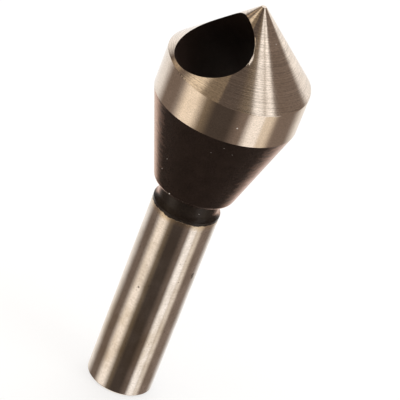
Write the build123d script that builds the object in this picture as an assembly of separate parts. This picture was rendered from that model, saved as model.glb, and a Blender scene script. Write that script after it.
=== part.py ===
from build123d import *
import math
import os

# Cross-hole countersink bit, turned and ground from one bar of tool steel.
# Millimetres and degrees. +Z runs along the bit, from the shank's end to the
# point. The origin is the centre of the shank's end face.

# ---------------------------------------------------------------- sizes
# Shank
SHANK_DIAMETER = 10.0
SHANK_GROUND_LENGTH = 31.2
SHANK_END_CHAMFER = 0.3

# Collar and neck, the run-out of the grinding wheel between shank and head
COLLAR_HEIGHT = 0.5
NECK_DEPTH = 0.45
NECK_FLARE_RADIUS = 1.0
NECK_LENGTH = 2.0
NECK_ROOT_RADIUS = 0.3

# Head: a step out of the neck, a tapered back, a cylindrical land and the cone
HEAD_FOOT_STEP = 1.35
HEAD_FOOT_CORNER_RADIUS = 1.1
HEAD_BACK_LENGTH = 14.2
HEAD_DIAMETER = 21.0
LAND_LENGTH = 6.1
POINT_ANGLE = 90.0
POINT_FLAT_DIAMETER = 0.7

# Relief: a second grind on a tilted axis with the same apex. It leaves the
# cutting side of the cone true and lets the heel side fall away.
HEEL_RELIEF_ANGLE = 2.6
RELIEF_AXIS_TILT = 2.9
HEEL_AZIMUTH_FROM_MOUTH = 71.0

# Chip hole: drilled askew right through the head. Its mouth opens in the
# cone, and its far end opens in the tapered back.
CHIP_HOLE_DIAMETER = 11.4
CHIP_HOLE_ANGLE = 45.0
CHIP_HOLE_BELOW_CONE_BASE = 1.75
CHIP_HOLE_SIDE_OFFSET = 0.45
CHIP_HOLE_RUN_OUT = 5.0

# The chip hole lies in the YZ plane and opens towards -Y.
MOUTH_AZIMUTH = -90.0

# ------------------------------------------------- heights up the axis
shank_radius = SHANK_DIAMETER / 2
neck_radius = shank_radius - NECK_DEPTH
head_foot_radius = neck_radius + HEAD_FOOT_STEP
head_radius = HEAD_DIAMETER / 2
point_flat_radius = POINT_FLAT_DIAMETER / 2
point_half_angle = POINT_ANGLE / 2

flare_low = SHANK_GROUND_LENGTH + COLLAR_HEIGHT
flare_turn = math.acos(1 - NECK_DEPTH / NECK_FLARE_RADIUS)
flare_top = flare_low + NECK_FLARE_RADIUS * math.sin(flare_turn)
head_foot = flare_top + NECK_LENGTH
land_low = head_foot + HEAD_BACK_LENGTH
cone_base = land_low + LAND_LENGTH
cone_slope = math.tan(math.radians(point_half_angle))
point_top = cone_base + (head_radius - point_flat_radius) / cone_slope
apex_height = cone_base + head_radius / cone_slope
chip_hole_height = cone_base - CHIP_HOLE_BELOW_CONE_BASE


def bar_section():
    """Half section of the turned blank, with x as the radius and y as the height."""
    flare_middle = (
        neck_radius + NECK_FLARE_RADIUS * (1 - math.cos(flare_turn / 2)),
        flare_top - NECK_FLARE_RADIUS * math.sin(flare_turn / 2),
    )
    with BuildSketch() as section:
        with BuildLine():
            Polyline(
                (neck_radius, flare_top),
                (neck_radius, head_foot),
                (head_foot_radius, head_foot),
                (head_radius, land_low),
                (head_radius, cone_base),
                (point_flat_radius, point_top),
                (0, point_top),
                (0, 0),
                (shank_radius - SHANK_END_CHAMFER, 0),
                (shank_radius, SHANK_END_CHAMFER),
                (shank_radius, flare_low),
            )
            ThreePointArc((shank_radius, flare_low), flare_middle, (neck_radius, flare_top))
        make_face()
        corners = section.vertices()
        neck_root = corners.sort_by_distance((neck_radius, head_foot))[0]
        foot_corner = corners.sort_by_distance((head_foot_radius, head_foot))[0]
        fillet(foot_corner, HEAD_FOOT_CORNER_RADIUS)
        fillet(neck_root, NECK_ROOT_RADIUS)
    return section.sketch


def turned_blank():
    """The blank as it leaves the lathe and the cylindrical grinder."""
    upright_section = Plane.XZ * bar_section()
    return revolve(upright_section, axis=Axis.Z, revolution_arc=360)


def relief_cone():
    """The space inside the relief grind: a tall cone that shares the point's apex."""
    half_angle = point_half_angle - HEEL_RELIEF_ANGLE + RELIEF_AXIS_TILT
    height = 2 * apex_height
    foot_radius = height * math.tan(math.radians(half_angle))
    upright = Pos(0, 0, -height / 2) * Cone(foot_radius, 0, height)
    # Leaning the axis about +Y moves the cone's wall towards the heel.
    heel_azimuth = MOUTH_AZIMUTH + HEEL_AZIMUTH_FROM_MOUTH
    leaning = Rot(0, 0, heel_azimuth) * Rot(0, RELIEF_AXIS_TILT, 0) * upright
    return Pos(0, 0, apex_height) * leaning


def chip_hole():
    """The drill's path: a long cylinder through the head, leaning to the mouth."""
    reach = HEAD_DIAMETER / math.sin(math.radians(CHIP_HOLE_ANGLE)) + CHIP_HOLE_RUN_OUT
    drill = Cylinder(CHIP_HOLE_DIAMETER / 2, 2 * reach)
    leaning = Rot(0, 0, MOUTH_AZIMUTH) * Rot(0, CHIP_HOLE_ANGLE, 0) * drill
    return Pos(-CHIP_HOLE_SIDE_OFFSET, 0, chip_hole_height) * leaning


def countersink_bit():
    blank = turned_blank()
    relieved = blank & relief_cone()
    return relieved - chip_hole()


os.makedirs("parts", exist_ok=True)

bit = countersink_bit()
export_step(bit, "parts/countersink_bit.step")
print("overall length", round(point_top, 3), "apex", round(apex_height, 3))
print("head foot", round(head_foot, 3), "land", round(land_low, 3), "to", round(cone_base, 3))
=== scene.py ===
# %% [markdown]
# # A cross-hole countersink bit
#
# This lesson dresses one turned and ground tool bit. The imported part gives its
# place and size: the bit stands on its shank's end at the origin and points up
# along Z.

import math

import bmesh
import bpy
import numpy as np
from mathutils import Matrix, Vector
from mathutils.geometry import delaunay_2d_cdt


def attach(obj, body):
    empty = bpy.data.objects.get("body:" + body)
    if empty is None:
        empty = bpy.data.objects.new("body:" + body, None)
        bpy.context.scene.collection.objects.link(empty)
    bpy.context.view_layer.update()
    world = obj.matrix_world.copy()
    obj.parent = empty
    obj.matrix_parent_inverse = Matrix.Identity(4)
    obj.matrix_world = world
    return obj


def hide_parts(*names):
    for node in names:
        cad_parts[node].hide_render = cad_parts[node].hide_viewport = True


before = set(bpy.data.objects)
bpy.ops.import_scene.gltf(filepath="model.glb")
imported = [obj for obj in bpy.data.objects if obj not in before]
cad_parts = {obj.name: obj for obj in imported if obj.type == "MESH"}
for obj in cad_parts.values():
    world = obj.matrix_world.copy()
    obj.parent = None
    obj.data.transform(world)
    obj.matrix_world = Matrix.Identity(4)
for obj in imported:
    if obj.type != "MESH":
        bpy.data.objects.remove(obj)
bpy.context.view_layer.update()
MM = 0.001

# %% [markdown]
# ## Where the viewer stands
#
# A long lens from well back keeps the sides of the shank almost parallel. A
# camera can be placed by hand, but a direction, a height and a roll are easier
# to reason about: walk round the bit, climb, then tip the camera.

# %% Camera
VIEW_AZIMUTH = math.radians(-40.644)
VIEW_ELEVATION = math.radians(29.758)
VIEW_ROLL = math.radians(21.552)
VIEW_DISTANCE = 0.39426
VIEW_AIM = Vector((0.00101, 0.00117, 0.03294))
LENS_MM = 249.16
SENSOR_MM = 36.0

back = Vector((
    math.cos(VIEW_ELEVATION) * math.cos(VIEW_AZIMUTH),
    math.cos(VIEW_ELEVATION) * math.sin(VIEW_AZIMUTH),
    math.sin(VIEW_ELEVATION),
))
level_right = Vector((0, 0, 1)).cross(back).normalized()
level_up = back.cross(level_right)
right = level_right * math.cos(VIEW_ROLL) + level_up * math.sin(VIEW_ROLL)
up = back.cross(right)

camera_data = bpy.data.cameras.new("view_camera")
camera_data.sensor_width = SENSOR_MM
camera_data.lens = LENS_MM
camera = bpy.data.objects.new("view_camera", camera_data)
facing_back = Matrix((right, up, back)).transposed().to_4x4()
camera.matrix_world = Matrix.Translation(VIEW_AIM + back * VIEW_DISTANCE) @ facing_back
bpy.context.scene.collection.objects.link(camera)
bpy.context.scene.camera = camera
print("camera at", [round(x, 4) for x in camera.matrix_world.translation])

# %% [markdown]
# ## The side profile
#
# A turned piece is one line swept round an axis. Its points could be typed in,
# but a shop drawing is shorter: corners, and the radius that rounds each one.
# Each piece of the line carries the surface's true direction at both ends, so
# the shading comes from the drawing, not from facets.

# %% A line along rounded corners
ARC_STEP = math.radians(8)
FEWEST_ARC_STEPS = 3


def unit(v):
    return v / np.linalg.norm(v)


def turn_of(spot):
    return math.atan2(spot[1], spot[0])


def around(point, turn):
    """A profile point or normal (out, up), turned to a direction round the axis."""
    return np.array([point[0] * math.cos(turn), point[0] * math.sin(turn), point[1]])


def outward(direction):
    """The side of a climbing profile line that faces out of the metal."""
    return np.array([direction[1], -direction[0]])


def profile(corners):
    """Pieces (from, to, normal there, normal here, finish) along rounded corners.

    Each corner is (radius, height, rounding, steps to the next one, finish)."""
    pieces = []
    points = [np.array(c[:2], float) for c in corners]
    start = points[0]
    for k in range(1, len(corners)):
        steps, finish = corners[k - 1][3:]
        d1 = unit(points[k] - points[k - 1])
        stop, arc = points[k], []
        rounding = corners[k][2]
        if rounding:
            d2 = unit(points[k + 1] - points[k])
            turn = math.atan2(d1[0] * d2[1] - d1[1] * d2[0], d1 @ d2)
            stop = points[k] - d1 * rounding * math.tan(abs(turn) / 2)
            n1, bend = outward(d1), math.copysign(1, turn)
            middle = stop - bend * rounding * n1
            arc_steps = max(FEWEST_ARC_STEPS, round(abs(turn) / ARC_STEP))
            for a in np.linspace(0, turn, arc_steps + 1):
                n = np.array([
                    n1[0] * math.cos(a) - n1[1] * math.sin(a),
                    n1[0] * math.sin(a) + n1[1] * math.cos(a),
                ])
                arc.append((middle + bend * rounding * n, n))
        n = outward(d1)
        marks = [start + (stop - start) * s / steps for s in range(steps + 1)]
        pieces += [(a, b, n, n, finish) for a, b in zip(marks, marks[1:])]
        pieces += [(a, b, na, nb, finish) for (a, na), (b, nb) in zip(arc, arc[1:])]
        start = arc[-1][0] if arc else stop
    return pieces


# %% [markdown]
# ## Shank, neck and tapered back
#
# The shank is a plain ground cylinder for a chuck. Above it a thin neck lets
# the grinding wheel run out, and the head opens from a rounded foot to its full
# width. All of this is round, so the profile describes it.

# %% Sizes in millimetres
SHANK_RADIUS = 5.0
SHANK_END_CHAMFER = 0.3
CHAMFER_ROUNDING = 0.12
COLLAR_TOP = 31.7
NECK_RADIUS = 4.55
NECK_ROOT_ROUNDING = 0.3
FLARE_RADIUS = 1.0
FLARE_SPOTS = 9
NECK_TOP = 34.535
FOOT_RADIUS = 5.9
FOOT_ROUNDING = 1.1
HEAD_RADIUS = 10.5
LAND_LOW = 48.735
CONE_BASE = 54.835
APEX = CONE_BASE + HEAD_RADIUS
EDGE_BREAK = 0.03

# %% The profile from the shank's end to the tapered back
flare_turn = math.acos(1 - (SHANK_RADIUS - NECK_RADIUS) / FLARE_RADIUS)
flare_top = COLLAR_TOP + FLARE_RADIUS * math.sin(flare_turn)
flare_middle = np.array([NECK_RADIUS + FLARE_RADIUS, flare_top])
flare_normals = [
    np.array([math.cos(t), math.sin(t)]) for t in np.linspace(flare_turn, 0, FLARE_SPOTS)
]
flare_spots = [flare_middle - FLARE_RADIUS * n for n in flare_normals]

shank_run = profile([
    (0.0, 0.0, 0, 5, "ground"),
    (SHANK_RADIUS - SHANK_END_CHAMFER, 0.0, CHAMFER_ROUNDING, 1, "ground"),
    (SHANK_RADIUS, SHANK_END_CHAMFER, CHAMFER_ROUNDING, 32, "shank"),
    (SHANK_RADIUS, COLLAR_TOP - EDGE_BREAK, 0, 0, "shank"),
])
collar_edge = [(shank_run[-1][1], flare_spots[0], shank_run[-1][3], flare_normals[0], "shank")]
flare_run = [
    (flare_spots[k], flare_spots[k + 1], flare_normals[k], flare_normals[k + 1], "black")
    for k in range(len(flare_spots) - 1)
]
head_run = profile([
    (NECK_RADIUS, flare_top, 0, 3, "black"),
    (NECK_RADIUS, NECK_TOP, NECK_ROOT_ROUNDING, 2, "black"),
    (FOOT_RADIUS, NECK_TOP, FOOT_ROUNDING, 1, "black"),
    (HEAD_RADIUS, LAND_LOW, 0, 0, "black"),
])
lower_run = shank_run + collar_edge + flare_run + head_run[:-1]
taper_start, taper_normal = head_run[-1][0], head_run[-1][2]
taper_end = np.array([HEAD_RADIUS, LAND_LOW])
print("profile pieces below the tapered back:", len(lower_run))

# %% [markdown]
# ## The point
#
# The cone is ground twice. The first grind is true to the axis. The second
# leans its axis by a few degrees about the same tip, so that the cone falls
# away behind the cutting edge and can't rub. A boolean could cut it, but both
# cones share one tip, so one number for each direction is enough: how far out
# the surface lies for each millimetre below the tip. The smaller one is left.

# %% The relieved cone as a function of the direction round the axis
HALF_ANGLE = math.radians(45.0)
HEEL_DIRECTION = math.radians(-19.0)
HEEL_RELIEF = math.radians(2.6)
RELIEF_TILT = math.radians(2.9)
relief_half_angle = HALF_ANGLE - HEEL_RELIEF + RELIEF_TILT
relief_axis = np.array([
    -math.sin(RELIEF_TILT) * math.cos(HEEL_DIRECTION),
    -math.sin(RELIEF_TILT) * math.sin(HEEL_DIRECTION),
    -math.cos(RELIEF_TILT),
])


def relief_slope(turn):
    a = math.cos(RELIEF_TILT)
    b = -math.cos(turn - HEEL_DIRECTION) * math.sin(RELIEF_TILT)
    lean = math.atan2(b, a) + math.acos(math.cos(relief_half_angle) / math.hypot(a, b))
    return math.tan(lean)


def cone_slope(turn):
    """Millimetres out from the axis for each millimetre below the tip."""
    return min(1.0, relief_slope(turn))


def base_height(turn):
    """Where the cone meets the land, which drops a little behind the edge."""
    return APEX - HEAD_RADIUS / cone_slope(turn)


print("base of the cone:", round(base_height(math.pi), 3), "to", round(base_height(HEEL_DIRECTION), 3))

# %% Normals of the cone, and the two creases between its grinds
def cone_normal(spot, relieved):
    if relieved:
        toward = unit(np.array([spot[0], spot[1], spot[2] - APEX]))
        return unit(toward * math.cos(relief_half_angle) - relief_axis)
    return unit(np.array([*(spot[:2] / math.hypot(*spot[:2])), 1.0]))


crease_offset = math.acos(
    (math.cos(RELIEF_TILT) - math.sqrt(2) * math.cos(relief_half_angle)) / math.sin(RELIEF_TILT)
)
crease_turns = [HEEL_DIRECTION - crease_offset, HEEL_DIRECTION + crease_offset]
print("relief runs from", [round(math.degrees(t), 1) for t in crease_turns], "degrees")

# %% [markdown]
# ## The chip hole
#
# One drilled hole leans right through the head, and the rim of its upper mouth
# is the tool's only cutting edge. A boolean would leave slivers there. Here
# each line along the hole's wall is followed until it leaves the metal, which
# gives a clean ring of points at the mouth and another at the far end.

# %% The hole's place, and how far its wall runs
HOLE_RADIUS = 5.7
HOLE_LEAN = math.radians(45.0)
HOLE_CENTRE = np.array([-0.45, 0.0, CONE_BASE - 1.75])
WALL_HALVINGS = 30
hole_axis = np.array([0.0, -math.sin(HOLE_LEAN), math.cos(HOLE_LEAN)])
hole_side = np.array([1.0, 0.0, 0.0])
hole_up = np.cross(hole_axis, hole_side)


def metal_radius(height, turn):
    """The head's radius at a height, in one direction round the axis."""
    if height < LAND_LOW:
        slope = (HEAD_RADIUS - taper_start[0]) / (LAND_LOW - taper_start[1])
        return HEAD_RADIUS - slope * (LAND_LOW - height)
    return min(HEAD_RADIUS, (APEX - height) * cone_slope(turn))


def on_wall(angle, along):
    out = hole_side * math.cos(angle) + hole_up * math.sin(angle)
    return HOLE_CENTRE + HOLE_RADIUS * out + hole_axis * along


def leaves_metal(angle, near, far):
    """How far along the hole's wall the metal ends, found by halving."""
    for _ in range(WALL_HALVINGS):
        middle = (near + far) / 2
        x, y, z = on_wall(angle, middle)
        if math.hypot(x, y) < metal_radius(z, math.atan2(y, x)):
            near = middle
        else:
            far = middle
    return near


print("the hole crosses the axis near height", round(HOLE_CENTRE[2], 3))

# %% Which way the wall and the skin face
def from_hole_axis(spot):
    """The way from the hole's middle line straight out to a point."""
    away = np.array(spot) - HOLE_CENTRE
    return away - hole_axis * (away @ hole_axis)


def hole_inward(spot):
    """The wall's normal, which points to the middle of the hole."""
    return -unit(from_hole_axis(spot))


def skin_normal(spot):
    turn = turn_of(spot)
    if spot[2] < LAND_LOW:
        return unit(around(taper_normal, turn))
    if spot[2] < base_height(turn):
        return around((1, 0), turn)
    return cone_normal(spot, relief_slope(turn) < 1)


def onto_skin(spot):
    turn = turn_of(spot)
    return around((metal_radius(spot[2], turn), spot[2]), turn)


# %% [markdown]
# ## The broken edge and its burr
#
# A drilled lip is keen nearly all round and torn at one place, where the drill
# pushed a little metal up. A bevel would be equally wide everywhere, so the
# width is a function of the angle: two soft humps.

# %% How wide the edge is
KEEN_WIDTH = 0.015
BURR_WIDTH = 0.15
THICK_BURR_ANGLE, THICK_BURR_SPAN = math.radians(27), math.radians(9)
THIN_BURR_ANGLE, THIN_BURR_SPAN = math.radians(46), math.radians(12)
THIN_BURR_SHARE = 0.25
INNER_SHARE = 0.7
PAST_THE_HEAD = 26.0
SIDE_STEP = 1e-3


def burr_at(angle, mouth):
    """How much burr there is at an angle round the hole: 1 in its middle, 0 away from it."""
    if not mouth:
        return 0.0
    thick = math.exp(-(((angle - THICK_BURR_ANGLE) / THICK_BURR_SPAN) ** 2))
    thin = math.exp(-(((angle - THIN_BURR_ANGLE) / THIN_BURR_SPAN) ** 2))
    return thick + THIN_BURR_SHARE * thin


def ring_spots(angle, mouth):
    """(point on the skin, point in the hole, along) on both sides of the edge."""
    reach = PAST_THE_HEAD if mouth else -PAST_THE_HEAD
    along = leaves_metal(angle, 0.0, reach)
    edge = on_wall(angle, along)
    ahead = on_wall(angle + SIDE_STEP, leaves_metal(angle + SIDE_STEP, 0.0, reach))
    sideways = unit(np.cross(skin_normal(edge), unit(ahead - edge)))
    if sideways @ hole_inward(edge) > 0:
        sideways = -sideways
    width = KEEN_WIDTH + BURR_WIDTH * burr_at(angle, mouth)
    skin = onto_skin(edge + sideways * width)
    inside = along - math.copysign(INNER_SHARE * width, reach)
    return skin, on_wall(angle, inside), inside


widest = KEEN_WIDTH + BURR_WIDTH * burr_at(THICK_BURR_ANGLE, True)
print("edge from", KEEN_WIDTH, "to", round(widest, 3), "mm")

# %% [markdown]
# ## Two rings of points
#
# The mouth crosses a crease of the cone, and the far end the line where black
# turns to bright. Even steps would miss both and leave a ragged corner, so the
# exact angles are looked up and added to the even ones.

# %% The angles of the rings
RING_COUNT = 216
CROSSING_MARKS = 96
CROSSING_HALVINGS = 24
CLOSEST_ANGLE = 0.008


def crossings(test, mouth):
    """The angles at which test changes sign along a ring on the skin."""
    found = []
    marks = np.linspace(0, 2 * math.pi, CROSSING_MARKS + 1)
    values = [test(ring_spots(a, mouth)[0]) for a in marks]
    for a, b, va, vb in zip(marks, marks[1:], values, values[1:]):
        if va * vb < 0:
            for _ in range(CROSSING_HALVINGS):
                m = (a + b) / 2
                vm = test(ring_spots(m, mouth)[0])
                a, b, va = (m, b, vm) if va * vm > 0 else (a, m, va)
            found.append(a)
    return found


crease_cuts = crossings(lambda p: turn_of(p) - crease_turns[0], True)
land_cuts = crossings(lambda p: p[2] - LAND_LOW, False)
special = crease_cuts + land_cuts
even_angles = [2 * math.pi * k / RING_COUNT for k in range(RING_COUNT)]
kept_angles = [a for a in even_angles if min(abs(a - s) for s in special) > CLOSEST_ANGLE]
ring_angles = sorted(kept_angles + special)
mouth_ring = [ring_spots(a, True) for a in ring_angles]
exit_ring = [ring_spots(a, False) for a in ring_angles]
for ring_name, ring in (("mouth", mouth_ring), ("far end", exit_ring)):
    heights = [p[0][2] for p in ring]
    print(ring_name, "heights", round(min(heights), 2), "to", round(max(heights), 2))

# %% [markdown]
# ## The bit below its tapered back
#
# The mesh is kept as plain lists until it is whole. A screw modifier would
# sweep the profile too, but it would guess the normals. The directions round
# the axis are even, apart from two that move onto the creases.

# %% Lists for the mesh
COLUMNS = 240
TINY = 1e-6
turns = [-math.pi + 2 * math.pi * k / COLUMNS for k in range(COLUMNS)]
for crease in crease_turns:
    nearest = min(range(COLUMNS), key=lambda k: abs(turns[k] - crease))
    turns[nearest] = crease
corner_spots, faces, face_normals, face_finish = [], [], [], []


def add_spot(spot):
    corner_spots.append(tuple(float(x) for x in spot))
    return len(corner_spots) - 1


def add_face(corners, normals, finish):
    faces.append(list(corners))
    face_normals.append([tuple(float(x) for x in n) for n in normals])
    face_finish.append(finish)


# %% Sweep the profile
def ring_of(point):
    if point[0] < TINY:
        return [add_spot((0, 0, point[1]))] * COLUMNS
    return [add_spot(around(point, t)) for t in turns]


def add_band(low, high, low_normal, high_normal, finish):
    """A band of faces between two rings, with the profile's normals at its two rims."""
    for k in range(COLUMNS):
        n = (k + 1) % COLUMNS
        corners = [
            (low[k], k, low_normal), (low[n], n, low_normal),
            (high[n], n, high_normal), (high[k], k, high_normal),
        ]
        if low[k] == low[n]:
            corners = [corners[0], corners[2], corners[3]]
        normals = [around(normal, turns[column]) for _, column, normal in corners]
        add_face([c[0] for c in corners], normals, finish)


foot_ring = ring_of(lower_run[0][0])
for start, stop, low_normal, high_normal, finish in lower_run:
    next_ring = ring_of(stop)
    add_band(foot_ring, next_ring, low_normal, high_normal, finish)
    foot_ring = next_ring
print("faces below the tapered back:", len(faces))

# %% [markdown]
# ## Rows of the head
#
# Each row is a function of the direction round the axis, because the cone's
# base drops behind the edge. It also has a place on a flat label, which is the
# head's skin peeled off like the label of a jar.

# %% Rows from the tapered back to the tip
TIP_RADIUS = 0.35
TAPER_ROWS, LAND_ROWS, CONE_ROWS = 22, 10, 26
LABEL_GAP = 0.1
LABEL_STRETCH = 6.0
LAND_ROW = TAPER_ROWS - 1
BASE_ROW = TAPER_ROWS + LAND_ROWS - 1
taper_length = float(np.linalg.norm(taper_end - taper_start))
cone_start = taper_length + (CONE_BASE - LAND_LOW) + LABEL_GAP
cone_length = (HEAD_RADIUS - TIP_RADIUS) * math.sqrt(2)


def taper_row(share):
    return lambda turn: taper_start + (taper_end - taper_start) * share


def land_row(share):
    return lambda turn: np.array([
        HEAD_RADIUS, LAND_LOW + (base_height(turn) - EDGE_BREAK - LAND_LOW) * share,
    ])


def cone_row(share):
    out = (HEAD_RADIUS - EDGE_BREAK) * (1 - share) + (TIP_RADIUS + EDGE_BREAK) * share
    return lambda turn: np.array([out, APEX - out / cone_slope(turn)])


rows = []
for k in range(1, TAPER_ROWS + 1):
    rows.append((taper_row(k / TAPER_ROWS), k / TAPER_ROWS * taper_length))
for k in range(1, LAND_ROWS + 1):
    rows.append((land_row(k / LAND_ROWS), taper_length + k / LAND_ROWS * (CONE_BASE - LAND_LOW)))
for k in range(CONE_ROWS + 1):
    rows.append((cone_row(k / CONE_ROWS), cone_start + k / CONE_ROWS * cone_length))
grid = [[add_spot(around(make(t), t)) for t in turns] for make, _ in rows]
print("head rows:", len(rows), "columns:", COLUMNS)

# %% Places on the flat label, and faces of the head
def flat_place(spot):
    """Where a point of the skin lies on the flat label."""
    turn = turn_of(spot)
    out = math.hypot(spot[0], spot[1])
    if spot[2] < LAND_LOW - TINY:
        s = (out - taper_start[0]) / (HEAD_RADIUS - taper_start[0])
        return turn * LABEL_STRETCH, s * taper_length
    if spot[2] < base_height(turn) - EDGE_BREAK:
        s = (spot[2] - LAND_LOW) / (base_height(turn) - EDGE_BREAK - LAND_LOW)
        return turn * LABEL_STRETCH, taper_length + s * (CONE_BASE - LAND_LOW)
    s = (HEAD_RADIUS - EDGE_BREAK - out) / (HEAD_RADIUS - TIP_RADIUS - 2 * EDGE_BREAK)
    return turn * LABEL_STRETCH, cone_start + s * cone_length


def head_normal(spot, middle):
    """The skin's normal at a corner of a face whose middle is given."""
    middle_turn = turn_of(middle)
    if middle[2] < LAND_LOW:
        return around(taper_normal, turn_of(spot))
    if middle[2] < base_height(middle_turn) - EDGE_BREAK:
        return around((1, 0), turn_of(spot))
    return cone_normal(np.array(spot), relief_slope(middle_turn) < 1)


def add_head_face(corners):
    spots = np.array([corner_spots[c] for c in corners])
    middle = spots.mean(axis=0)
    on_cone = middle[2] > base_height(turn_of(middle)) - EDGE_BREAK
    finish = "black" if middle[2] < LAND_LOW else "ground" if on_cone else "land"
    add_face(corners, [head_normal(p, middle) for p in spots], finish)


print("label height:", round(cone_start + cone_length, 1))

# %% [markdown]
# ## Filling the label round the hole
#
# Near the hole the grid's cells are taken out, the ring is drawn on the flat
# label, and the gap is filled with triangles. Rolled back up, every point lies
# on the true surface. A crease has to stay sharp, so it is handed to the filler
# as a chain of edges that no triangle may cross.

# %% Helpers for a label
HOLE_CLEARANCE = 0.3
ROW_TOLERANCE = 1e-4
FILL_TOLERANCE = 1e-7


def hole_distance(spot):
    return np.linalg.norm(from_hole_axis(spot))


def hold_line(places, axis, value, ids, flat, edges):
    """Puts places on one straight line of the label and chains them, except across the hole."""
    for r in places:
        flat[r][axis] = value
    places = sorted(places, key=lambda r: flat[r][1 - axis])
    for a, b in zip(places, places[1:]):
        middle = (np.array(corner_spots[ids[a]]) + np.array(corner_spots[ids[b]])) / 2
        if hole_distance(middle) > HOLE_RADIUS:
            edges.append((a, b))


def add_label_faces(ids, out_faces, origin):
    """Adds the filler's triangles that lie outside the hole, facing out of the metal."""
    for face in out_faces:
        corners = [ids[origin[v][0]] for v in face]
        spots = np.array([corner_spots[c] for c in corners])
        middle = spots.mean(axis=0)
        if hole_distance(middle) < HOLE_RADIUS:
            continue
        normal = np.cross(spots[1] - spots[0], spots[2] - spots[0])
        if normal @ np.array([middle[0], middle[1], 0]) < 0:
            corners.reverse()
        add_head_face(corners)


# %% Fill one window of the grid
def fill_label(columns, row_span, ring, crease_row=None, crease_column=None):
    """Triangles between the grid's points of a window and a ring inside it."""
    ids, flat, place_of = [], [], {}
    window_rows = range(row_span[0], row_span[1] + 1)
    for j in window_rows:
        for k in columns:
            vertex = grid[j][k]
            if hole_distance(corner_spots[vertex]) > HOLE_RADIUS + HOLE_CLEARANCE:
                place_of[(j, k)] = len(ids)
                ids.append(vertex)
                flat.append(Vector((turns[k] * LABEL_STRETCH, rows[j][1])))
    ring_ids = []
    for spot in ring:
        ring_ids.append(len(ids))
        ids.append(add_spot(spot))
        flat.append(Vector(flat_place(spot)))
    edges = [(ring_ids[k], ring_ids[(k + 1) % len(ring_ids)]) for k in range(len(ring_ids))]
    if crease_row is not None:
        places = [place_of[(crease_row, k)] for k in columns if (crease_row, k) in place_of]
        places += [r for r in ring_ids if abs(corner_spots[ids[r]][2] - LAND_LOW) < ROW_TOLERANCE]
        hold_line(places, 1, rows[crease_row][1], ids, flat, edges)
    if crease_column is not None:
        crease_turn = turns[crease_column]
        places = [place_of[(j, crease_column)] for j in window_rows if (j, crease_column) in place_of]
        places += [r for r in ring_ids if abs(turn_of(corner_spots[ids[r]]) - crease_turn) < TINY]
        hold_line(places, 0, crease_turn * LABEL_STRETCH, ids, flat, edges)
    _, _, out_faces, origin, _, _ = delaunay_2d_cdt(flat, edges, [], 0, FILL_TOLERANCE)
    whole = [face for face in out_faces if all(origin[v] for v in face)]
    add_label_faces(ids, whole, origin)
    print("label:", len(out_faces), "triangles,", len(out_faces) - len(whole), "lost")
    return [ids[r] for r in ring_ids]


# %% Fill both windows
WINDOW_MARGIN = 0.06


def column_window(ring):
    low = min(turn_of(p[0]) for p in ring) - WINDOW_MARGIN
    high = max(turn_of(p[0]) for p in ring) + WINDOW_MARGIN
    return [k for k in range(COLUMNS) if low <= turns[k] <= high]


def row_window(ring, turn):
    """The last row below the ring and the first row above it."""
    ring_heights = [p[0][2] for p in ring]
    row_heights = [make(turn)[1] for make, _ in rows]
    low = max((j for j, h in enumerate(row_heights) if h < min(ring_heights)), default=0)
    high = min((j for j, h in enumerate(row_heights) if h > max(ring_heights)), default=len(rows) - 1)
    return low, high


mouth_columns, exit_columns = column_window(mouth_ring), column_window(exit_ring)
mouth_rows = (BASE_ROW + 1, row_window(mouth_ring, -math.pi / 2)[1] + 1)
exit_rows = row_window(exit_ring, math.pi / 2)
crease_column = min(range(COLUMNS), key=lambda k: abs(turns[k] - crease_turns[0]))
mouth_skin = fill_label(
    mouth_columns, mouth_rows, [p[0] for p in mouth_ring], crease_column=crease_column,
)
exit_skin = fill_label(exit_columns, exit_rows, [p[0] for p in exit_ring], crease_row=LAND_ROW)

# %% Keep the grid's own cells everywhere else
windows = [
    (set(mouth_columns[:-1]), range(*mouth_rows)),
    (set(exit_columns[:-1]), range(*exit_rows)),
]
for k in range(COLUMNS):
    n = (k + 1) % COLUMNS
    add_face(
        [foot_ring[k], foot_ring[n], grid[0][n], grid[0][k]],
        [around(taper_normal, turns[c]) for c in (k, n, n, k)],
        "black",
    )
for j in range(len(rows) - 1):
    for k in range(COLUMNS):
        if any(k in columns and j in span for columns, span in windows):
            continue
        n = (k + 1) % COLUMNS
        corners = [grid[j][k], grid[j][n], grid[j + 1][n], grid[j + 1][k]]
        if j == BASE_ROW:
            relieved = relief_slope(turns[k] + math.pi / COLUMNS) < 1
            on_cone = [cone_normal(np.array(corner_spots[c]), relieved) for c in corners[2:]]
            normals = [around((1, 0), turns[k]), around((1, 0), turns[n])] + on_cone
            add_face(corners, normals, "ground")
        else:
            add_head_face(corners)
print("faces with the head:", len(faces))

# %% [markdown]
# ## The blunt tip
#
# No ground point is perfectly sharp. A cone that ran to one point would also
# pinch the reflections there, so the tip ends in a small flat.

# %% Tip
tip_ring = ring_of((TIP_RADIUS - EDGE_BREAK, APEX - TIP_RADIUS))
tip_middle = add_spot((0, 0, APEX - TIP_RADIUS))
for k in range(COLUMNS):
    n = (k + 1) % COLUMNS
    relieved = relief_slope(turns[k] + math.pi / COLUMNS) < 1
    below = [cone_normal(np.array(corner_spots[grid[-1][c]]), relieved) for c in (k, n)]
    add_face([grid[-1][k], grid[-1][n], tip_ring[n], tip_ring[k]], below + [(0, 0, 1)] * 2, "ground")
for k in range(COLUMNS):
    add_face([tip_ring[k], tip_ring[(k + 1) % COLUMNS], tip_middle], [(0, 0, 1)] * 3, "ground")
print("tip at height", round(APEX - TIP_RADIUS, 3))

# %% [markdown]
# ## The hole's wall and its two edges
#
# Both rings use the same angles, so the wall is a ladder of rows. A narrow
# strip joins it to the skin, with normals from both sides, so it shades like a
# small rounded edge. Where it is torn they also lean up, because the burr
# catches the light from above.

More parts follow.
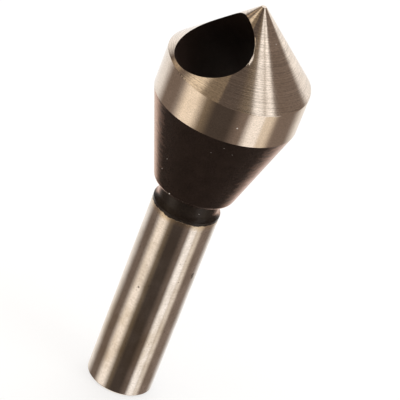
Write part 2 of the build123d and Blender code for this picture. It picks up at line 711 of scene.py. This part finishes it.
# %% The wall
WALL_ROWS = 24
ring_size = len(ring_angles)
wall = []
for j in range(WALL_ROWS + 1):
    s = j / WALL_ROWS
    ends = zip(ring_angles, mouth_ring, exit_ring)
    wall.append([add_spot(on_wall(a, e[2] + (m[2] - e[2]) * s)) for a, m, e in ends])


def add_facing(corners, normals, finish):
    """Adds a face, turned so that it looks the way its normals do."""
    p = [np.array(corner_spots[c]) for c in corners]
    if np.cross(p[1] - p[0], p[2] - p[0]) @ np.array(normals[0]) < 0:
        corners, normals = corners[::-1], normals[::-1]
    add_face(corners, normals, finish)


for j in range(WALL_ROWS):
    for k in range(ring_size):
        n = (k + 1) % ring_size
        corners = [wall[j][k], wall[j][n], wall[j + 1][n], wall[j + 1][k]]
        add_facing(corners, [hole_inward(np.array(corner_spots[c])) for c in corners], "bore")
print("faces with the hole's wall:", len(faces))

# %% The edge strips
TORN_FROM = 0.12
OWN_SHARE, UP_SHARE, OTHER_SHARE = 0.5, 0.35, 0.2
upward = np.array([0.0, 0.0, 1.0])
for skin_ids, wall_ids in ((mouth_skin, wall[-1]), (exit_skin, wall[0])):
    for k in range(ring_size):
        n = (k + 1) % ring_size
        corners = [skin_ids[k], skin_ids[n], wall_ids[n], wall_ids[k]]
        p = [np.array(corner_spots[c]) for c in corners]
        normals = [skin_normal(p[0]), skin_normal(p[1]), hole_inward(p[2]), hole_inward(p[3])]
        torn = burr_at(ring_angles[k], wall_ids is wall[-1]) > TORN_FROM
        if torn:
            normals = [
                unit(OWN_SHARE * normals[c] + UP_SHARE * upward + OTHER_SHARE * normals[3 - c])
                for c in (0, 1, 1, 0)
            ]
        if np.cross(p[2] - p[0], p[3] - p[1]) @ sum(np.array(v) for v in normals) < 0:
            corners, normals = corners[::-1], normals[::-1]
        add_face(corners, normals, "edge" if torn else "bore")
print("faces:", len(faces), "corners:", len(corner_spots))

# %% [markdown]
# ## One mesh
#
# The lists become a mesh, with the drawing's normals as custom normals. A probe
# counts edges that don't join exactly two faces, and points without a face. The
# edges lie where a filled window meets the grid near the hole and along its
# rim, and the points are the grid's own inside the hole.

# %% Make the mesh
FINISHES = ["ground", "land", "shank", "black", "bore", "edge"]
mesh = bpy.data.meshes.new("countersink_body")
mesh.from_pydata([tuple(x * MM for x in p) for p in corner_spots], [], faces)
mesh.polygons.foreach_set("material_index", [FINISHES.index(f) for f in face_finish])
mesh.polygons.foreach_set("use_smooth", [True] * len(faces))
mesh.normals_split_custom_set([tuple(unit(np.array(n))) for ns in face_normals for n in ns])
mesh.update()
bit = bpy.data.objects.new("countersink_body", mesh)
bpy.context.scene.collection.objects.link(bit)

probe = bmesh.new()
probe.from_mesh(mesh)
odd_edges = [e for e in probe.edges if len(e.link_faces) != 2]
loose = [v for v in probe.verts if not v.link_faces]
volume = probe.calc_volume() / MM ** 3
probe.free()
print("odd edges:", len(odd_edges), "loose points:", len(loose), "volume mm3:", round(volume, 1))

# %% [markdown]
# ## Nodes in small words
#
# A material is a net of nodes. The editor is good for trying things, and a
# script reads better when each kind of step has one short word.

# %% Node helpers
def new_material(name):
    material = bpy.data.materials.new(name)
    material.use_nodes = True
    tree = material.node_tree
    tree.nodes.clear()
    return material, tree


def node(tree, kind):
    return tree.nodes.new("ShaderNode" + kind)


def feed(value, socket):
    """A number or a colour is set on the socket itself, and an output is joined to it."""
    if isinstance(value, (int, float)):
        socket.default_value = value
    elif isinstance(value, tuple):
        socket.default_value = (*value, 1.0)
    else:
        socket.id_data.links.new(value, socket)


def maths(tree, operation, a, b=None, clamp=False):
    made = node(tree, "Math")
    made.operation = operation
    made.use_clamp = clamp
    feed(a, made.inputs[0])
    if b is not None:
        feed(b, made.inputs[1])
    return made.outputs[0]


def spread(tree, value, low, high, to_low=0.0, to_high=1.0):
    made = node(tree, "MapRange")
    names = ("Value", "From Min", "From Max", "To Min", "To Max")
    for name, given in zip(names, (value, low, high, to_low, to_high)):
        feed(given, made.inputs[name])
    return made.outputs["Result"]


# %% Mixing. The mix node has its number sockets at 2 and 3 and its colour sockets at 6 and 7.
def mix_colour(tree, mask, under, over):
    made = node(tree, "Mix")
    made.data_type = "RGBA"
    for k, value in ((0, mask), (6, under), (7, over)):
        feed(value, made.inputs[k])
    return made.outputs[2]


def lay(tree, mask, under, over):
    """A number that goes from one value to another where the mask says so."""
    made = node(tree, "Mix")
    for k, value in ((0, mask), (2, under), (3, over)):
        feed(value, made.inputs[k])
    return made.outputs[0]


def shade(colour, factor):
    return tuple(factor * share for share in colour)


# %% Noise, height and small marks, all in the bit's own frame
MARK_CORE = 0.6


def own_place(tree):
    return node(tree, "TexCoord").outputs["Object"]


def stretched_noise(tree, along, across, detail=3.0, seed=0.0):
    """Noise with so many grains a metre along Z and so many across."""
    stretch = node(tree, "Mapping")
    stretch.inputs["Scale"].default_value = (across, across, along)
    stretch.inputs["Location"].default_value = (seed, seed * 0.7, seed * 1.3)
    feed(own_place(tree), stretch.inputs["Vector"])
    noise = node(tree, "TexNoise")
    noise.inputs["Scale"].default_value = 1.0
    noise.inputs["Detail"].default_value = detail
    feed(stretch.outputs["Vector"], noise.inputs["Vector"])
    return noise.outputs["Fac"]


def height_mm(tree):
    """The height up the bit in millimetres, as a number a shader can use."""
    split = node(tree, "SeparateXYZ")
    feed(own_place(tree), split.inputs["Vector"])
    return maths(tree, "MULTIPLY", split.outputs["Z"], 1 / MM)


def spots(tree, marks):
    """1 inside small marks, 0 elsewhere. Each mark is (x, y, z, radius) in mm."""
    total = None
    for x, y, z, radius in marks:
        away = node(tree, "VectorMath")
        away.operation = "DISTANCE"
        away.inputs[1].default_value = (x * MM, y * MM, z * MM)
        feed(own_place(tree), away.inputs[0])
        inside = spread(tree, away.outputs["Value"], radius * MM, radius * MM * MARK_CORE)
        total = inside if total is None else maths(tree, "MAXIMUM", total, inside)
    return total


# %% [markdown]
# ## One shader for steel and for its black skin
#
# A grinding wheel leaves fine scratches round the piece. They spread a
# reflection along the axis and leave it sharp across, so a ground cylinder
# shows long clean stripes. A rough grey would lose the stripes and a mirror the
# softness, so the shader is anisotropic, with its direction taken round Z and
# turned a quarter. Steel is metallic and its dark skin is not, so the amount of
# metal is a mask too.

# %% The shader
STRETCH = 0.95
QUARTER_TURN = 0.25
SKIN_IOR = 1.25
RELIEF_DISTANCE = 0.00002


def metal(tree, colour, roughness, height, depth, stretched=None, edge=None, bare=1.0):
    """Puts the shader and its relief into a material's tree."""
    shader = node(tree, "BsdfPrincipled")
    if stretched is not None:
        tangent = node(tree, "Tangent")
        tangent.direction_type = "RADIAL"
        tangent.axis = "Z"
        feed(tangent.outputs["Tangent"], shader.inputs["Tangent"])
        shader.inputs["Anisotropic Rotation"].default_value = QUARTER_TURN
    for name, value in (
        ("Base Color", colour), ("Roughness", roughness), ("Anisotropic", stretched),
        ("Specular Tint", edge), ("Metallic", bare), ("IOR", SKIN_IOR),
    ):
        if value is not None:
            feed(value, shader.inputs[name])
    relief = node(tree, "Bump")
    relief.inputs["Strength"].default_value = depth
    relief.inputs["Distance"].default_value = RELIEF_DISTANCE
    feed(height, relief.inputs["Height"])
    feed(relief.outputs["Normal"], shader.inputs["Normal"])
    output = node(tree, "OutputMaterial")
    feed(shader.outputs["BSDF"], output.inputs["Surface"])


# %% Colours of the steel, the oxide and the dirt
HEAD_STEEL = (0.72, 0.63, 0.545)
SHANK_STEEL = (0.70, 0.64, 0.585)
HEAD_CLOUD = (0.50, 0.41, 0.32)
SHANK_CLOUD = (0.40, 0.34, 0.27)
HEAT_TINT = (0.66, 0.54, 0.40)
STAIN = (0.46, 0.37, 0.26)
OXIDE = (0.0165, 0.0105, 0.0082)
NECK_OXIDE = (0.0200, 0.0150, 0.0120)
OXIDE_EDGE = (0.98, 0.86, 0.80)
# Painted sheen: the lighter colour the black skin takes where it is met at a low angle, a reflection painted
# into its base colour. The bore uses it as its specular tint.
OXIDE_GLOSS = (0.36, 0.26, 0.225)
# The torn lip's grain runs from dark to pale. The pale end is partly fresh metal and partly a painted
# highlight.
TORN_DARK = (0.50, 0.41, 0.29)
TORN_BRIGHT_AND_HIGHLIGHT = (0.95, 0.84, 0.68)
DIRT = (0.10, 0.078, 0.06)
DUST = (0.80, 0.77, 0.73)
DUST_ROUGHNESS = 0.8
print("the steel's red is", round(HEAD_STEEL[0] / OXIDE[0]), "times the oxide's")

# %% [markdown]
# ## Ground steel on the head
#
# The wheel's rings are noise drawn out round the axis, with a finer grain over
# it. Land and cone share one function with other amounts, since the cone's
# rings are plainer. Nicks sit by the cone's base, where the head knocks against
# other tools, and some dust has settled.

# %% Rings and grain
RINGS_ACROSS = 130.0
GRAIN_ALONG = 8000.0
BRIGHT_SHARE = 0.25


def steel_marks(tree, steel, ring, ring_share, grain, depth):
    """Colour, roughness and height of ground steel: wheel rings, then a fine grain."""
    rings = stretched_noise(tree, ring, RINGS_ACROSS)
    fine = stretched_noise(tree, GRAIN_ALONG, grain, seed=4.0)
    mixed = lay(tree, ring_share, fine, rings)
    tone = spread(tree, mixed, 0.36, 0.62)
    colour = mix_colour(tree, tone, shade(steel, 1 - depth), shade(steel, 1 + BRIGHT_SHARE * depth))
    rough = spread(tree, mixed, 0.35, 0.65, 0.15, 0.12)
    return colour, rough, mixed


# %% The head's steel
HEAD_NICKS = [
    (-6.41, -7.63, 54.86, 0.12), (-6.89, -7.07, 54.96, 0.09), (0.62, -10.38, 54.41, 0.15),
    (1.14, -10.34, 54.40, 0.17), (1.64, -10.28, 54.38, 0.15), (2.24, -10.20, 54.36, 0.10),
]
HEAD_DUST = [(9.45, -4.58, 51.3, 0.11), (3.66, 1.41, 61.21, 0.09), (0.55, -1.29, 63.86, 0.07)]
NICK_STRENGTH = 0.85
HEAD_CLOUDINESS = 0.20


def head_steel(name, ring, ring_share, grain, depth, relief):
    material, tree = new_material(name)
    clean, rough, height = steel_marks(tree, HEAD_STEEL, ring, ring_share, grain, depth)
    clouds = stretched_noise(tree, 420.0, 420.0, detail=4.0, seed=21.0)
    cloudy = spread(tree, clouds, 0.42, 0.68, 0.0, HEAD_CLOUDINESS)
    clouded = mix_colour(tree, cloudy, clean, HEAD_CLOUD)
    nicks = maths(tree, "MULTIPLY", spots(tree, HEAD_NICKS), NICK_STRENGTH)
    nicked = mix_colour(tree, nicks, clouded, DIRT)
    dust = spots(tree, HEAD_DUST)
    metal(
        tree, mix_colour(tree, dust, nicked, DUST), lay(tree, dust, rough, DUST_ROUGHNESS), height, relief,
        stretched=STRETCH, bare=spread(tree, dust, 0.0, 1.0, 1.0, 0.0),
    )
    return material


print("marks on the head:", len(HEAD_NICKS), "nicks and", len(HEAD_DUST), "specks of dust")

# %% [markdown]
# ## The black oxide
#
# A hot bath blackens the steel, and the land and the shank are ground bright
# again. Met head on the skin is nearly black, and at a low angle it is glossy.
# A plain colour would stay dark there. So Layer Weight paints a lighter colour
# into the skin at a low angle, a painted sheen, and raises its metal too. Noise
# frays the place where it starts.

# %% Grain of the oxide, and its gloss and painted sheen at a low angle
PATCH_SHARE = 0.35
FRAY = 0.07
METALLIC_FROM, METALLIC_TO = 0.50, 0.70
PAINTED_SHEEN_FROM, PAINTED_SHEEN_TO = 0.58, 0.82


def oxide_marks(tree, oxide):
    """Colour, roughness and height of the black skin, with a fine sandy grain."""
    grain = stretched_noise(tree, 6000.0, 6000.0, detail=4.0)
    patches = stretched_noise(tree, 500.0, 500.0, seed=6.0)
    tone = spread(tree, lay(tree, PATCH_SHARE, grain, patches), 0.38, 0.66)
    colour = mix_colour(tree, tone, shade(oxide, 0.8), shade(oxide, 1.5))
    rough = spread(tree, grain, 0.3, 0.7, 0.14, 0.26)
    return colour, rough, grain


def glancing(tree, starts, full):
    """0 where the skin is met head on, 1 where it is met at a low angle: the mask for the painted sheen and
    for more metal.
    """
    weight = node(tree, "LayerWeight")
    noise = stretched_noise(tree, 2600.0, 700.0, detail=4.0, seed=15.0)
    frayed = spread(tree, noise, 0.3, 0.7, -FRAY, FRAY)
    return spread(tree, maths(tree, "ADD", weight.outputs["Facing"], frayed), starts, full)


# %% The tapered back and the neck
BODY_DUST = [
    (2.30, -5.61, 35.20, 0.13), (1.61, -7.70, 40.71, 0.08), (0.59, -7.06, 38.31, 0.07),
    (7.64, -5.83, 46.04, 0.04), (8.82, -4.92, 47.53, 0.04), (9.20, -3.46, 46.68, 0.04),
    (4.18, -4.37, 35.15, 0.05), (4.44, -0.97, 33.01, 0.06),
]
NECK_ENDS, BODY_STARTS = 34.5, 34.7


def black_body(name):
    material, tree = new_material(name)
    body, rough, height = oxide_marks(tree, OXIDE)
    neck, _, _ = oxide_marks(tree, NECK_OXIDE)
    above_neck = spread(tree, height_mm(tree), NECK_ENDS, BODY_STARTS)
    skin = mix_colour(tree, above_neck, neck, body)
    # Painted sheen: Layer Weight paints the lighter gloss colour into the skin where it is met at a low
    # angle.
    painted_sheen_skin = mix_colour(tree, glancing(tree, PAINTED_SHEEN_FROM, PAINTED_SHEEN_TO), skin, OXIDE_GLOSS)
    dust = spots(tree, BODY_DUST)
    metal(
        tree, mix_colour(tree, dust, painted_sheen_skin, DUST), lay(tree, dust, rough, DUST_ROUGHNESS), height, 0.25,
        edge=OXIDE_EDGE, bare=lay(tree, dust, glancing(tree, METALLIC_FROM, METALLIC_TO), 0.0),
    )
    return material


print("specks of dust on the oxide:", len(BODY_DUST))

# %% [markdown]
# ## The shank
#
# Three finishes meet here: ground steel, a straw tint and the black above it.
# Borders on the mesh would be too clean. Here the height picks the finish, with
# noise added to it, so the borders wander. Below, the steel is cloudy from
# handling and stained brown near its end.

# %% The shank's steel
SHANK_PITS = [
    (2.10, -4.54, 18.42, 0.22), (4.99, -0.30, 21.25, 0.12), (4.58, 2.01, 22.18, 0.42),
    (4.50, 2.10, 21.70, 0.30), (3.97, -3.03, 14.60, 0.08), (4.95, 0.70, 12.10, 0.10),
]
SHANK_STAIN = [(1.9, -4.6, 9.5, 7.5)]
SHANK_CLOUDINESS = 0.42
PIT_STRENGTH = 0.75
SPECK_STRENGTH = 0.45
TINT_FROM, TINT_TO = 30.3, 31.1
TINT_ROUGHNESS = 0.30
BLACK_FROM, BLACK_TO = 31.16, 31.24
BORDER_WANDER = 0.14


def handled_steel(tree, colour):
    """Clouds from handling, and the brown stain near the shank's end."""
    clouds = stretched_noise(tree, 260.0, 420.0, detail=4.0, seed=12.0)
    clouded = mix_colour(tree, spread(tree, clouds, 0.42, 0.64, 0.0, SHANK_CLOUDINESS), colour, SHANK_CLOUD)
    patchy = spread(tree, clouds, 0.3, 0.6, 0.10, 0.50)
    return mix_colour(tree, maths(tree, "MULTIPLY", spots(tree, SHANK_STAIN), patchy), clouded, STAIN)


def pitted_steel(tree, colour):
    """Pits, and a fine speckle of dirt."""
    pits = maths(tree, "MULTIPLY", spots(tree, SHANK_PITS), PIT_STRENGTH)
    noise = stretched_noise(tree, 4200.0, 3600.0, detail=2.0, seed=2.0)
    speckle = spread(tree, noise, 0.64, 0.74, 0.0, SPECK_STRENGTH)
    return mix_colour(tree, maths(tree, "MAXIMUM", pits, speckle), colour, DIRT)


def shank_steel(name):
    """Ground steel below, a straw tint just under the black, and black on top."""
    material, tree = new_material(name)
    colour, rough, height = steel_marks(tree, SHANK_STEEL, 6000.0, 0.3, 2500.0, 0.12)
    noise = stretched_noise(tree, 1500.0, 1500.0, detail=5.0, seed=9.0)
    wander = spread(tree, noise, 0.3, 0.7, -BORDER_WANDER, BORDER_WANDER)
    level = maths(tree, "ADD", height_mm(tree), wander)
    near_black = spread(tree, level, TINT_FROM, TINT_TO)
    tinted = mix_colour(tree, near_black, handled_steel(tree, colour), HEAT_TINT)
    tinted_rough = lay(tree, near_black, rough, TINT_ROUGHNESS)
    black = spread(tree, level, BLACK_FROM, BLACK_TO)
    oxide, oxide_rough, _ = oxide_marks(tree, NECK_OXIDE)
    metal(
        tree, mix_colour(tree, black, pitted_steel(tree, tinted), oxide),
        lay(tree, black, tinted_rough, oxide_rough), height, 0.08,
        stretched=STRETCH, bare=lay(tree, black, 1.0, glancing(tree, METALLIC_FROM, METALLIC_TO)),
    )
    return material


print("the black starts at height", BLACK_FROM, "give or take", BORDER_WANDER)

# %% [markdown]
# ## Inside the hole, and its torn lip
#
# The bath blackens the hole too, and there the skin is dull. The torn lip is
# fresh metal, scratched every way, so its shader is rough, speckled and has no
# direction. Its pale colour is partly that fresh metal and partly a painted
# highlight, for the light the burr catches.

# %% Bore and torn edge
def black_bore(name):
    material, tree = new_material(name)
    colour, _, height = oxide_marks(tree, OXIDE)
    metal(tree, colour, 0.5, height, 0.15, edge=OXIDE_GLOSS, bare=0.0)
    return material


def torn_edge(name):
    material, tree = new_material(name)
    grain = stretched_noise(tree, 4000.0, 4000.0, seed=3.0)
    # Fresh metal with a painted highlight: the pale grain colour stands in partly for the light the burr
    # catches.
    colour = mix_colour(tree, spread(tree, grain, 0.38, 0.62), TORN_DARK, TORN_BRIGHT_AND_HIGHLIGHT)
    metal(tree, colour, 0.5, grain, 0.3, bare=0.15)
    return material


materials = {
    "ground": head_steel("cone_steel", ring=12500.0, ring_share=0.60, grain=2800.0, depth=0.39, relief=0.02),
    "land": head_steel("land_steel", ring=6000.0, ring_share=0.25, grain=4500.0, depth=0.16, relief=0.08),
    "shank": shank_steel("shank_steel"),
    "black": black_body("black_oxide"),
    "bore": black_bore("blackened_bore"),
    "edge": torn_edge("edge_steel"),
}
for finish in FINISHES:
    mesh.materials.append(materials[finish])
print("materials:", [material.name for material in mesh.materials])

# %% [markdown]
# ## Floor and top light
#
# The pale floor glows for the camera alone, so it is white without more light
# on the steel. A large lamp overhead gives the soft shadow. Neither shows in
# the reflections, because the painted room gives those.

# %% Floor
FLOOR_HALF = 4.0
FLOOR_WHITE = (0.93, 0.93, 0.93)
FLOOR_GLOW = 0.7
floor_corners = [(x * FLOOR_HALF, y * FLOOR_HALF, 0) for x, y in ((-1, -1), (1, -1), (1, 1), (-1, 1))]
floor_mesh = bpy.data.meshes.new("floor")
floor_mesh.from_pydata(floor_corners, [], [(0, 1, 2, 3)])
floor = bpy.data.objects.new("floor", floor_mesh)
bpy.context.scene.collection.objects.link(floor)
floor.visible_glossy = False

floor_material, tree = new_material("floor_white")
diffuse = node(tree, "BsdfDiffuse")
feed(FLOOR_WHITE, diffuse.inputs["Color"])
glow = node(tree, "Emission")
seen = node(tree, "LightPath")
blend = node(tree, "MixShader")
feed(maths(tree, "MULTIPLY", seen.outputs["Is Camera Ray"], FLOOR_GLOW), blend.inputs["Fac"])
feed(diffuse.outputs["BSDF"], blend.inputs[1])
feed(glow.outputs["Emission"], blend.inputs[2])
output = node(tree, "OutputMaterial")
feed(blend.outputs["Shader"], output.inputs["Surface"])
floor_mesh.materials.append(floor_material)
print("floor:", 2 * FLOOR_HALF, "m wide")

# %% Top light
TOP_LIGHT_SIZE = 1.6
TOP_LIGHT_WATTS = 17.0
TOP_LIGHT_HEIGHT = 1.5
top_light_data = bpy.data.lights.new("top_light", "AREA")
top_light_data.shape = "SQUARE"
top_light_data.size = TOP_LIGHT_SIZE
top_light_data.energy = TOP_LIGHT_WATTS
top_light = bpy.data.objects.new("top_light", top_light_data)
top_light.location = (0.0, 0.0, TOP_LIGHT_HEIGHT)
top_light.visible_glossy = False
bpy.context.scene.collection.objects.link(top_light)
print("top light:", TOP_LIGHT_WATTS, "W")

# %% [markdown]
# ## The room round the bit
#
# Bright steel shows the room more than itself: soft panels left and right of
# the viewer, a dark room between them and a white backdrop behind. They could
# be built, but in a painted world each stripe on the steel answers to one
# panel. Shank, land and cone face different heights, so there are bands. A
# panel is a stretch of degrees with one brightness and tint, in round numbers,
# and 0 degrees is the viewer.

# %% Directions in the room
FULL_TURN = 360
world = bpy.data.worlds.new("studio")
bpy.context.scene.world = world
world.use_nodes = True
tree = world.node_tree
tree.nodes.clear()
turned = node(tree, "VectorRotate")
turned.rotation_type = "Z_AXIS"
turned.inputs["Angle"].default_value = -VIEW_AZIMUTH
feed(node(tree, "TexCoord").outputs["Generated"], turned.inputs["Vector"])
split = node(tree, "SeparateXYZ")
feed(turned.outputs["Vector"], split.inputs["Vector"])
bearing = maths(tree, "ARCTAN2", split.outputs["Y"], split.outputs["X"])
bearing = maths(tree, "MULTIPLY", bearing, 180 / math.pi)
rise = maths(tree, "MULTIPLY", maths(tree, "ARCSINE", split.outputs["Z"]), 180 / math.pi)
position = maths(tree, "ADD", maths(tree, "DIVIDE", bearing, float(FULL_TURN)), 0.5, clamp=True)
print("the viewer stands at", round(math.degrees(VIEW_AZIMUTH), 1), "degrees")

# %% Panels and tints
WHITE = (1.0, 0.98, 0.96)
CREAM = (1.0, 0.94, 0.87)
GOLD = (1.0, 0.85, 0.65)
OLIVE = (1.0, 0.78, 0.55)
BROWN = (1.0, 0.78, 0.65)


def ring_of_panels(panels):
    """A ramp round the room. Light fades from one panel (from, to, brightness, tint) to the next."""
    ramp = node(tree, "ValToRGB")
    feed(position, ramp.inputs["Fac"])
    elements = ramp.color_ramp.elements
    elements.remove(elements[1])
    sides = [(side, *panel[2:]) for panel in panels for side in panel[:2]]
    for k, (degrees, brightness, tint) in enumerate(sides):
        at = degrees / FULL_TURN + 0.5
        stop = elements.new(at) if k else elements[0]
        stop.position = at
        stop.color = (*shade(tint, brightness), 1.0)
    print("ramp stops:", len(elements))
    return ramp.outputs["Color"]


# %% The band that the shank shows
low_room = ring_of_panels([
    (-180, -145, 1.1, CREAM),  # backdrop behind, left
    (-110, -85, 0.25, BROWN),  # dark side wall
    (-62, -46, 1.5, CREAM),  # left light panel
    (-28, -26, 0.2, OLIVE),  # where its light ends
    (-12, 16, 0.08, BROWN),  # the viewer
    (32, 38, 0.2, BROWN),  # room right of the viewer
    (50, 65, 1.6, WHITE),  # right light panel, front leaf
    (69, 72, 1.1, CREAM),  # the panel's frame
    (76, 80, 1.2, CREAM),  # right light panel, back leaf
    (92, 125, 0.3, BROWN),  # dark side wall
    (160, 180, 1.1, WHITE),  # backdrop behind, right
])

# %% The band that the land shows
land_room = ring_of_panels([
    (-180, -125, 1.1, WHITE),  # backdrop behind, left
    (-105, -75, 0.25, BROWN),  # dark side wall
    (-60, -42, 1.1, GOLD),  # left light panel
    (-28, -26, 0.3, OLIVE),  # where its light ends
    (-12, 16, 0.08, BROWN),  # the viewer
    (32, 38, 0.3, BROWN),  # room right of the viewer
    (50, 65, 1.2, CREAM),  # right light panel, front leaf
    (69, 80, 0.9, GOLD),  # its frame and back leaf
    (92, 125, 0.25, BROWN),  # dark side wall
    (150, 180, 1.0, CREAM),  # backdrop behind, right
])

# %% The band that the cone shows
high_room = ring_of_panels([
    (-180, -148, 1.4, WHITE),  # backdrop behind, left
    (-124, -114, 0.2, BROWN),  # dark side wall
    (-106, -99, 0.6, OLIVE),  # wall with a little light
    (-90, -84, 0.2, BROWN),  # a dark post
    (-68, -52, 1.1, GOLD),  # left light panel
    (-40, -9, 0.3, OLIVE),  # olive ceiling
    (-8, 25, 0.14, BROWN),  # the viewer's shade
    (44, 52, 0.25, OLIVE),  # room right of the viewer
    (56, 70, 1.4, WHITE),  # right light panel, front leaf
    (71.5, 73.5, 0.3, OLIVE),  # the panel's frame
    (75.5, 84, 1.6, WHITE),  # right light panel, back leaf
    (88, 132, 0.25, BROWN),  # dark side wall
    (143, 180, 1.4, WHITE),  # backdrop behind, right
])

# %% The band that only the lowest slopes show
under_room = ring_of_panels([
    (-180, -155, 1.3, CREAM),  # backdrop seen past the bit, left
    (-130, -125, 0.3, BROWN),  # its shaded foot
    (-60, 60, 0.15, BROWN),  # table in front
    (118, 122, 0.3, BROWN),  # shaded foot of the backdrop
    (152, 180, 1.3, CREAM),  # backdrop seen past the bit, right
])

# %% Stack the bands, and show plain white to the camera
SHANK_TO_LAND = (-31.0, -28.0)
LAND_TO_CONE = (-20.0, 18.0)
SHANK_TO_UNDER = (-37.0, -46.0)


def between(heights):
    """0 at the first height in degrees above the horizon, 1 at the second."""
    return spread(tree, rise, *heights)


level_room = mix_colour(tree, between(SHANK_TO_LAND), low_room, land_room)
upper_room = mix_colour(tree, between(LAND_TO_CONE), level_room, high_room)
room = mix_colour(tree, between(SHANK_TO_UNDER), upper_room, under_room)
painted = node(tree, "Background")
feed(room, painted.inputs["Color"])
plain = node(tree, "Background")
feed((1.0, 1.0, 1.0), plain.inputs["Color"])
rays = node(tree, "LightPath")
choose = node(tree, "MixShader")
feed(rays.outputs["Is Camera Ray"], choose.inputs["Fac"])
feed(painted.outputs["Background"], choose.inputs[1])
feed(plain.outputs["Background"], choose.inputs[2])
world_output = node(tree, "OutputWorld")
feed(choose.outputs["Shader"], world_output.inputs["Surface"])
bpy.context.scene.view_settings.view_transform = "Standard"
print("nodes in the world:", len(tree.nodes))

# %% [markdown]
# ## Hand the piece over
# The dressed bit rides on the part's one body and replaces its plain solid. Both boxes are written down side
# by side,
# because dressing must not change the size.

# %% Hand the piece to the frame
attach(bit, "root")
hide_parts("countersink_bit")
